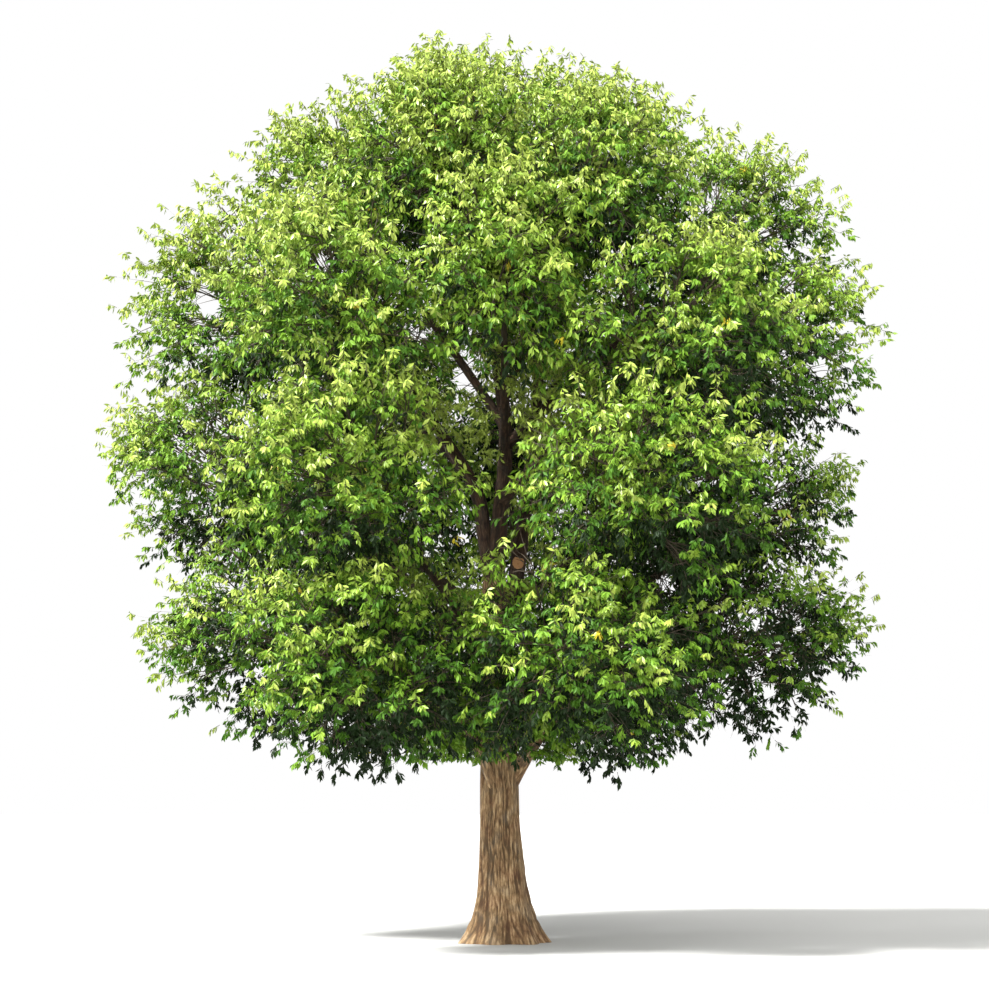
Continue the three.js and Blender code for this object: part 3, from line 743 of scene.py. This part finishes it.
def growLeaves(mass, shoots, depth, draw):
    bases, count = shoots["bases"], leafRule["onShoot"]
    order = np.arange(count)
    share = np.linspace(leafRule["from"], 1.0, count)
    roots = bases[:, None] + (shoots["ends"] - bases)[:, None] * share[:, None]
    sides = unit(np.cross(shoots["ways"], nearlyUp))[:, None] * np.where(order % 2, 1.0, -1.0)[:, None]
    sides = sides * np.where(order == count - 1, leafRule["endAside"], leafRule["aside"])[:, None]
    droop = draw.uniform(*leafRule["droop"], roots.shape[:2])[..., None]
    ways = shoots["ways"][:, None] * leafRule["along"] + sides - upWay * droop
    ways = unit(ways + draw.normal(0, leafRule["sway"], roots.shape))
    facing = upWay * leafRule["faceUp"] + unit(bases - mass["middle"])[:, None] * leafRule["faceOut"]
    facing = unit(facing + draw.normal(0, leafRule["faceSway"], roots.shape))
    facing = unit(facing - ways * (facing * ways).sum(axis=-1, keepdims=True))
    lengths = draw.uniform(*leafRule["length"], roots.shape[:2])

    # outside all leaves grow, further in two of three, and deep inside one of three, larger
    inner = (depth < leafRule["fewWithin"]) & ~shoots["hangs"]
    lengths[inner] *= leafRule["innerSize"]
    ofThree = np.where(inner, 1, np.where(depth < leafRule["someWithin"], 2, 3))
    return (roots, ways, facing, lengths), order % 3 < ofThree[:, None]


def growMass(name):
    mass = spaceOf(name)
    draw = np.random.default_rng(mass["number"] + 1)
    branches = growBranches(mass, draw)
    twigs = growTwigs(mass, branches, draw)
    shoots = growShoots(mass, twigs, draw)
    depthWays = (shoots["bases"] - np.array(crown["middle"])) / np.array(crown["reach"])
    light = paintedLightOn(mass, twigs, shoots, depthWays, draw)
    leaves, grows = growLeaves(mass, shoots, np.linalg.norm(depthWays, axis=1), draw)
    return {"tubes": branches["tubes"] + shoots["tubes"], "light": light, "leaves": leaves, "grows": grows,
            "chance": draw.uniform(0, 1, len(light))}


# Leaves and twigs are too many for operators, so their meshes are filled from arrays
def arrayMesh(name, places, faces):  # each array of faces has one number of corners
    corners = np.concatenate([f.ravel() for f in faces]).astype(np.int32)
    sizes = np.concatenate([np.full(len(f), f.shape[1], np.int32) for f in faces])
    mesh = bpy.data.meshes.new(name)
    mesh.vertices.add(len(places))
    mesh.vertices.foreach_set("co", places.astype(np.float32).ravel())
    mesh.loops.add(len(corners))
    mesh.loops.foreach_set("vertex_index", corners)
    mesh.polygons.add(len(sizes))
    mesh.polygons.foreach_set("loop_start", np.concatenate([[0], np.cumsum(sizes)[:-1]]).astype(np.int32))
    mesh.update(calc_edges=True)
    return mesh


def leafArrays(roots, ways, facing, lengths, whole):  # narrow at the stalk, widest past half way, pointed
    if whole:  # five places and three faces, curling down, one side fuller
        along = np.array([0.0, 0.42, 0.55, 0.78, 1.0])
        wide = np.array([0.0, -0.95, 1.0, -0.7, 0.0])
        lift = -leafRule["curl"] * along ** 2
        faces = [(0, 2, 1), (1, 2, 3), (3, 2, 4)]
    else:  # four places and two faces, folded along the midrib
        along = np.array([0.0, 0.56, 0.56, 1.0])
        wide = np.array([0.0, -1.1, 1.1, 0.0])
        lift = leafRule["fold"] * np.abs(wide)
        faces = [(0, 2, 3), (0, 3, 1)]
    across = np.cross(ways, facing)
    size = lengths[:, None, None]
    places = (roots[:, None] + ways[:, None] * size * along[:, None] + facing[:, None] * size * lift[:, None]
              + across[:, None] * size * (leafRule["width"] / 2 * wide)[:, None])
    first = len(along) * np.arange(len(roots))[:, None]
    return places.reshape(-1, 3), [np.vstack([first + face for face in faces])]


def tubeArrays(lines, radii, sides):  # thin tubes along many lines, pointed where the last radius is nothing
    count, rings = lines.shape[:2]
    ways = unit(lines[:, -1] - lines[:, 0])
    sideHint = [0.37, 0.21, 0.9]
    circle = turnedAbout(ways, unit(np.cross(ways, sideHint)), 2 * math.pi * np.arange(sides) / sides)
    pointed = radii[-1] == 0
    rounds = rings - pointed
    places = lines[:, :rounds, None] + circle[:, None] * radii[None, :rounds, None, None]
    places = places.reshape(count, -1, 3)
    if pointed:
        places = np.concatenate([places, lines[:, -1:]], axis=1)
    first = places.shape[1] * np.arange(count)[:, None, None]
    here, after = np.arange(sides), (np.arange(sides) + 1) % sides
    ring = first + sides * np.arange(rounds - 1)[:, None]
    quads = np.stack([ring + here, ring + after, ring + sides + after, ring + sides + here], axis=-1)
    faces = [quads.reshape(-1, 4)]
    if pointed:
        lastRing = first[:, 0] + sides * (rounds - 1)
        point = first[:, 0] + sides * rounds + 0 * here
        faces.append(np.stack([lastRing + here, lastRing + after, point], axis=-1).reshape(-1, 3))
    return places.reshape(-1, 3), [f for f in faces if len(f)]


# Leaf blades: waxy upper side with a soft gloss. Their tints run from deep green to yellow-green and are
# dealt out by painted light and shade, partly the real colours of shade and sun leaves.
leafTints = {  # a colour, and its share of the sprays from the darkest place to the lightest
    "shade": ("#132507", 0.25), "deep": ("#3c6015", 0.21), "mid": ("#618423", 0.22),
    "fresh": ("#7a962f", 0.20), "sunlit": ("#90a342", 0.12),
}
turningTint = ("#b5a62c", 0.0015)  # single yellow sprays
glossyTints = ["fresh", "sunlit", "turning"]
wholeTints = ["sunlit", "turning"]  # the leaves that show best have three faces, the others two
leafGloss = {True: {"Roughness": 0.4, "IOR": 1.4}, False: {"Roughness": 0.55, "IOR": 1.26}}


def leafMaterial(tint, colour):
    material, shader = newMaterial("leaf blade, " + tint)
    shader.inputs["Base Color"].default_value = hexColour(colour)
    for socket, value in leafGloss[tint in glossyTints].items():
        shader.inputs[socket].default_value = value
    return material


leafMaterials = {tint: leafMaterial(tint, colour) for tint, (colour, share) in leafTints.items()}
leafMaterials["turning"] = leafMaterial("turning", turningTint[0])

# Twig bark: thin, smooth and brown, slightly shiny
twigLook = {"colour": "#3c3221", "roughness": 0.7}
twigBark, twigShader = newMaterial("smooth twig bark")
twigShader.inputs["Base Color"].default_value = hexColour(twigLook["colour"])
twigShader.inputs["Roughness"].default_value = twigLook["roughness"]

grownMasses = {name: growMass(name) for name in masses}
# each spray's painted light picks its tint, by share, from the darkest to the lightest
allPaintedLight = np.concatenate([grown["light"] for grown in grownMasses.values()])
cuts = np.quantile(allPaintedLight, np.cumsum([share for colour, share in leafTints.values()])[:-1])
print("masses grown:", len(allPaintedLight), "sprays")
tierKinds = {"skirt": ["skirt"], "lower": ["lower"], "upper": ["upper"], "top": ["top", "crown"]}
leafCount = 0
for tier, kinds in tierKinds.items():
    names = [name for name in masses if name.split("_")[0] in kinds]
    nodes = ["foliage_" + name for name in names]
    places, faces, total = [], {3: [], 4: []}, 0
    for name in names:
        for lines, radii, sides in grownMasses[name]["tubes"]:
            tubePlaces, tubeFaces = tubeArrays(lines, radii, sides)
            places.append(tubePlaces)
            for f in tubeFaces:
                faces[f.shape[1]].append(f + total)
            total += len(tubePlaces)
    twigMesh = arrayMesh("twigs_" + tier, np.vstack(places), [np.vstack(f) for f in faces.values()])
    placePiece(twigMesh, "twigs_" + tier, twigBark, nodes)
    for rank, tint in enumerate(leafMaterials):
        chosen = [[], [], [], []]
        for name in names:
            grown = grownMasses[name]
            turning = grown["chance"] < turningTint[1]
            sprays = (np.searchsorted(cuts, grown["light"]) == rank) & ~turning
            if tint == "turning":
                sprays = turning
            for rows, values in zip(chosen, grown["leaves"]):
                rows.append(values[sprays[:, None] & grown["grows"]])
        roots, ways, facing, lengths = (np.concatenate(rows) for rows in chosen)
        leafPlaces, leafFaces = leafArrays(roots, ways, facing, lengths, tint in wholeTints)
        leafMesh = arrayMesh(f"leaves_{tier}_{tint}", leafPlaces, leafFaces)
        placePiece(leafMesh, f"leaves_{tier}_{tint}", leafMaterials[tint], nodes)
        leafCount += len(roots)
    print("foliage of the", tier, "tier done")
foliage = [piece.data for piece in bpy.data.objects if piece.name.startswith(("leaves_", "twigs_"))]
print("leaves:", leafCount, "triangles:", sum(len(mesh.loops) - 2 * len(mesh.polygons) for mesh in foliage))


# Studio: a matt pale floor, a key light from the upper left, a wide soft one beside the camera, a white world
studio = {
    "floorColour": "#bcbcb9", "floorRoughness": 0.9, "floorSize": 400, "fill": 1.0,
    "lights": {
        "key": {"from": (-0.82, -0.6, 1.1), "power": 10.2, "angle": 9},
        "front": {"from": (0.1, -1.0, 0.7), "power": 1.6, "angle": 50},
    },
}
floorMaterial, floorShader = newMaterial("pale studio floor")
floorShader.inputs["Base Color"].default_value = hexColour(studio["floorColour"])
floorShader.inputs["Roughness"].default_value = studio["floorRoughness"]
floorShape = bmesh.new()
bmesh.ops.create_grid(floorShape, x_segments=1, y_segments=1, size=studio["floorSize"])
floorMesh = bpy.data.meshes.new("floor")
floorShape.to_mesh(floorMesh)
floorShape.free()
floor = bpy.data.objects.new("floor", floorMesh)
floorMesh.materials.append(floorMaterial)
bpy.context.scene.collection.objects.link(floor)

for name, settings in studio["lights"].items():
    light = bpy.data.lights.new(name, "SUN")
    light.energy = settings["power"]
    light.angle = math.radians(settings["angle"])
    lamp = bpy.data.objects.new(name, light)
    bpy.context.scene.collection.objects.link(lamp)
    lampX, lampY, lampZ = settings["from"]
    lamp.rotation_euler = (math.atan2(math.hypot(lampX, lampY), lampZ), 0, math.atan2(lampX, -lampY))
world = bpy.data.worlds.new("studio")
world.use_nodes = True
world.node_tree.nodes["Background"].inputs["Color"].default_value = (1, 1, 1, 1)
world.node_tree.nodes["Background"].inputs["Strength"].default_value = studio["fill"]
bpy.context.scene.world = world
bpy.context.scene.view_settings.view_transform = "Standard"

cameraData = bpy.data.cameras.new("camera")
cameraData.lens = camera["lens"]
cameraData.clip_end = 1000
cameraObject = bpy.data.objects.new("camera", cameraData)
cameraObject.location = camera["place"]
cameraObject.rotation_euler = (math.radians(90 + camera["tilt"]), 0, 0)
bpy.context.scene.collection.objects.link(cameraObject)
bpy.context.scene.camera = cameraObject
print("studio done")
